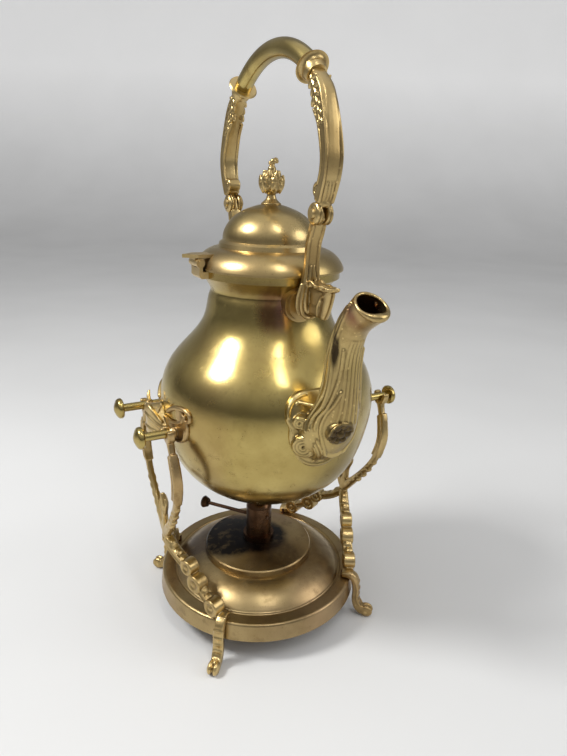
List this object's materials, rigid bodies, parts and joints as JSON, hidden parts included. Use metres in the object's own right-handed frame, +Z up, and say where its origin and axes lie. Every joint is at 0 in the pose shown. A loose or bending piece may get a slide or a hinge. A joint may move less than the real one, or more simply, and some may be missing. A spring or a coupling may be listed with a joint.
{
  "type": "spirit kettle on stand",
  "caption": "Round-bellied brass kettle with swan-neck spout, arched fixed handle and hinged lid, tilting on pegs in a scroll-legged stand over a spirit burner.",
  "frame": {"origin": "centre of the bounding box on the table, under the middle of the overall length", "axes": "+Z up, the spout points along -Y, +X to the right-hand side frame"},
  "size_m": [0.192, 0.2004, 0.3819],
  "materials": {
    "polished_brass": "polished, aged",
    "cast_brass": "satin, aged",
    "burner_brass": "dark, sooted",
    "old_steel": "rusty",
    "cotton": "matte"
  },
  "bodies": {
    "stand": {"base_plate": "polished_brass", "fuel_reservoir": "burner_brass", "burner_collar": "burner_brass", "burner_tube": "burner_brass", "burner_cap": "burner_brass", "stand_fork_left": "cast_brass", "stand_fork_right": "cast_brass", "leg_front_left": "cast_brass", "leg_front_right": "cast_brass", "leg_rear_left": "cast_brass", "leg_rear_right": "cast_brass", "leg_screws": "old_steel"},
    "kettle": {"kettle_body": "polished_brass", "spout": "polished_brass", "peg_bracket_left": "cast_brass", "peg_bracket_right": "cast_brass", "peg_front_left": "polished_brass", "peg_rear_left": "polished_brass", "peg_front_right": "polished_brass", "peg_rear_right": "polished_brass", "neck_boss_front": "cast_brass", "neck_boss_rear": "cast_brass", "handle_arm_front": "cast_brass", "handle_arm_rear": "cast_brass", "knee_rivet_front": "cast_brass", "knee_rivet_rear": "cast_brass", "handle_limb_front": "cast_brass", "handle_limb_rear": "cast_brass", "handle_collar_front": "cast_brass", "handle_collar_rear": "cast_brass", "handle_grip": "polished_brass", "lid_hinge_bracket": "cast_brass", "lid_hinge_pin": "cast_brass"},
    "lid": {"lid": "polished_brass", "lid_sleeve": "polished_brass", "lid_hinge_leaf": "cast_brass", "finial": "cast_brass", "finial_nut": "cast_brass"},
    "wick_raiser": {"wick_spindle": "old_steel", "spindle_knob": "cast_brass"},
    "wick": {"wick": "cotton"}
  },
  "joints": [
    {"name": "kettle_tilt", "type": "hinge", "parent": "stand", "child": "kettle", "pos_m": [0, 0.00121, 0.16], "axis": [1, 0, 0], "range_deg": [0, 55]},
    {"name": "lid_hinge", "type": "hinge", "parent": "kettle", "child": "lid", "pos_m": [-0.0486, 0.01821, 0.2593], "axis": [0, -1, 0], "range_deg": [0, 90]},
    {"name": "raiser_turn", "type": "hinge", "parent": "stand", "child": "wick_raiser", "pos_m": [-0.00338, 0.02397, 0.07], "axis": [-0.6293, 0.7771, 0], "range_deg": [-65, 108]},
    {"name": "wick_rise", "type": "slide", "parent": "stand", "child": "wick", "axis": [0, 0, 1], "range_m": [-0.005, 0.003]}
  ],
  "couplings": [
    {"joint": "raiser_turn", "follows": "wick_rise", "rad_per_m": -370.37}
  ]
}
